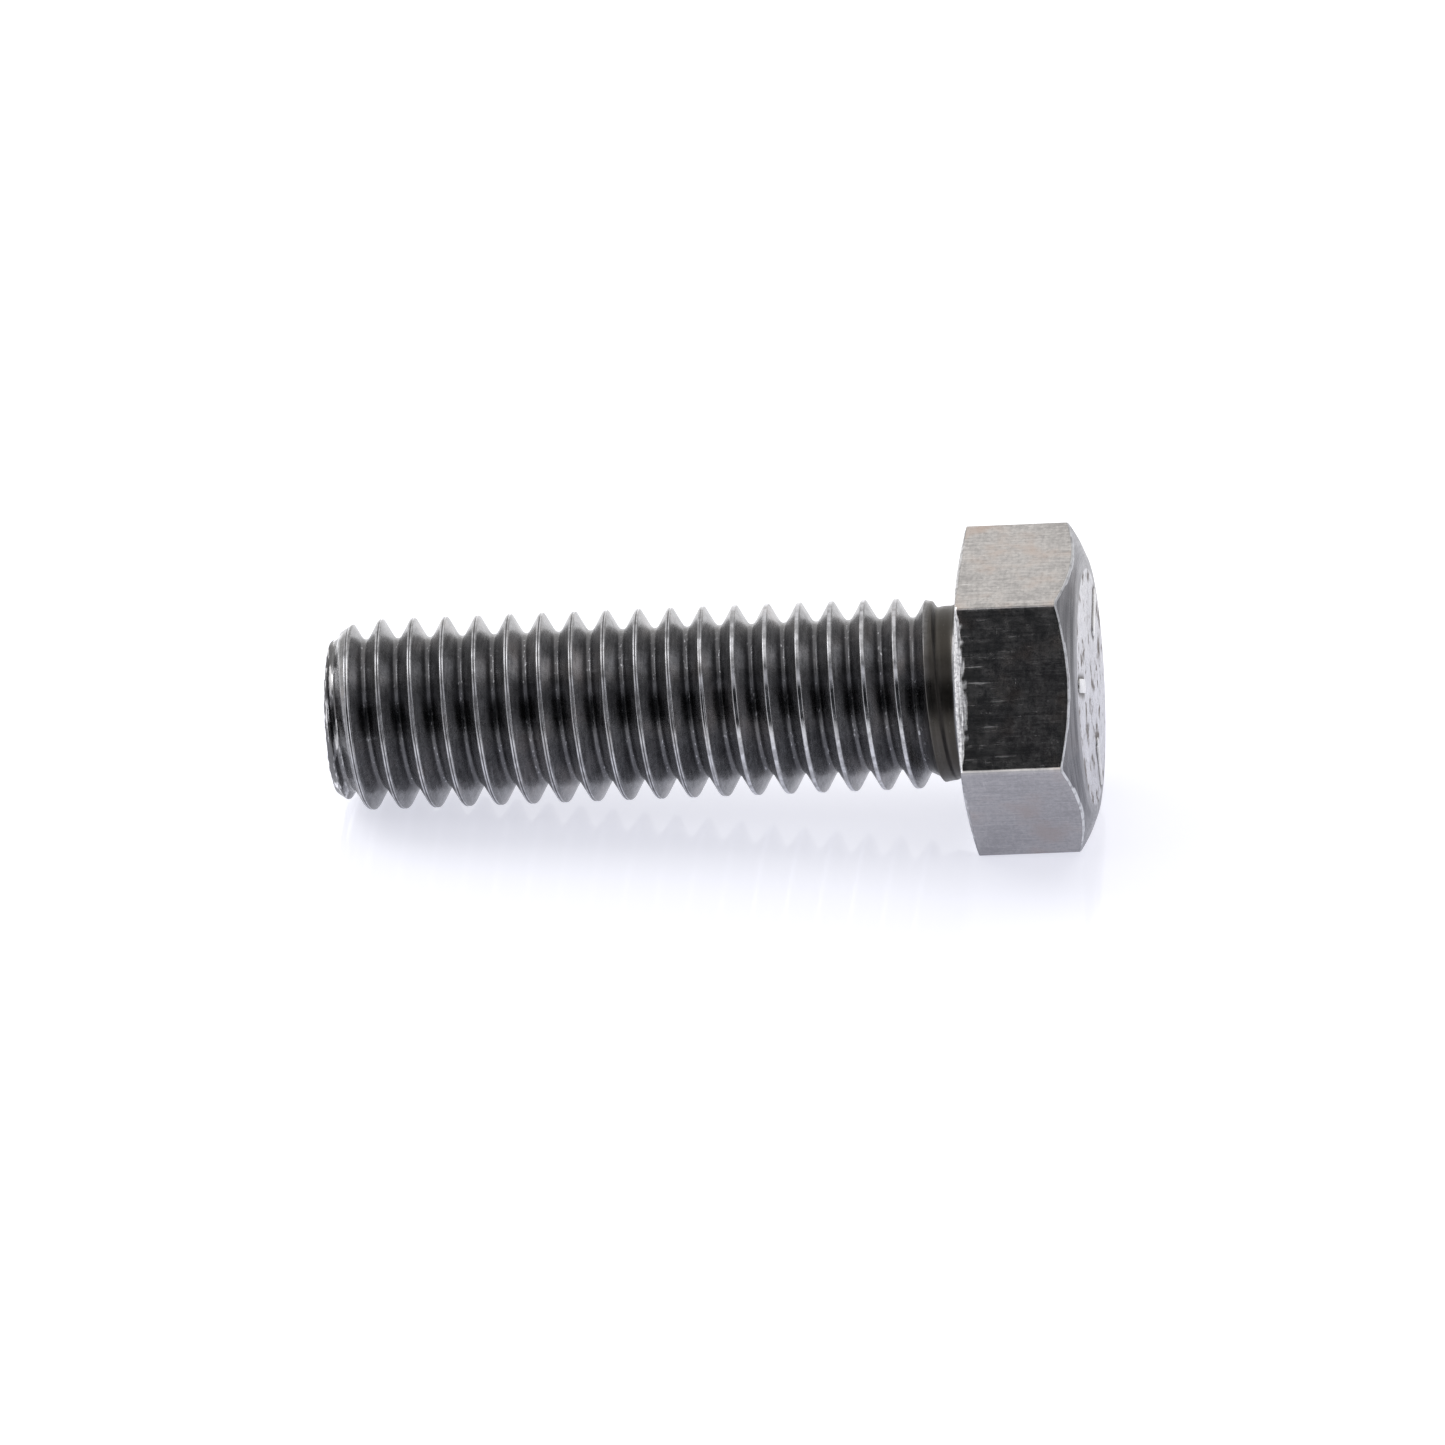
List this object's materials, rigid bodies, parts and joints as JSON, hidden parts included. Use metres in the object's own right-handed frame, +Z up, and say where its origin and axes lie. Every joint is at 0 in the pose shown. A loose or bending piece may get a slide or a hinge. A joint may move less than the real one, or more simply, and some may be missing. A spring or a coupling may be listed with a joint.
{
  "type": "hex bolt",
  "caption": "Fully threaded hexagon head bolt in dark bare steel, right-hand coarse thread, chamfered head and point, short neck under the head.",
  "frame": {"origin": "centre of the bearing face under the head, where the head clamps the joint", "axes": "+X along the bolt's axis from the tip to the head, +Z up, square to one flat of the hexagon, +Y towards a corner of the hexagon"},
  "size_m": [0.0374, 0.016, 0.014],
  "materials": {
    "thread_steel": "dark rolled thread, smooth flanks and brighter rubbed crests",
    "head_steel": "bare steel flats drawn and scratched along the axis, with a faint warm tint of rust",
    "bearing_steel": "bright and rough where the hexagon was trimmed",
    "bar_steel": "raised marks rubbed bright on the top of the head"
  },
  "bodies": {
    "root": {"hex_head": "head_steel", "head_bars": "bar_steel", "washer_face": "bearing_steel", "neck": "thread_steel", "threaded_shank": "thread_steel", "chamfered_point": "thread_steel"}
  },
  "joints": []
}
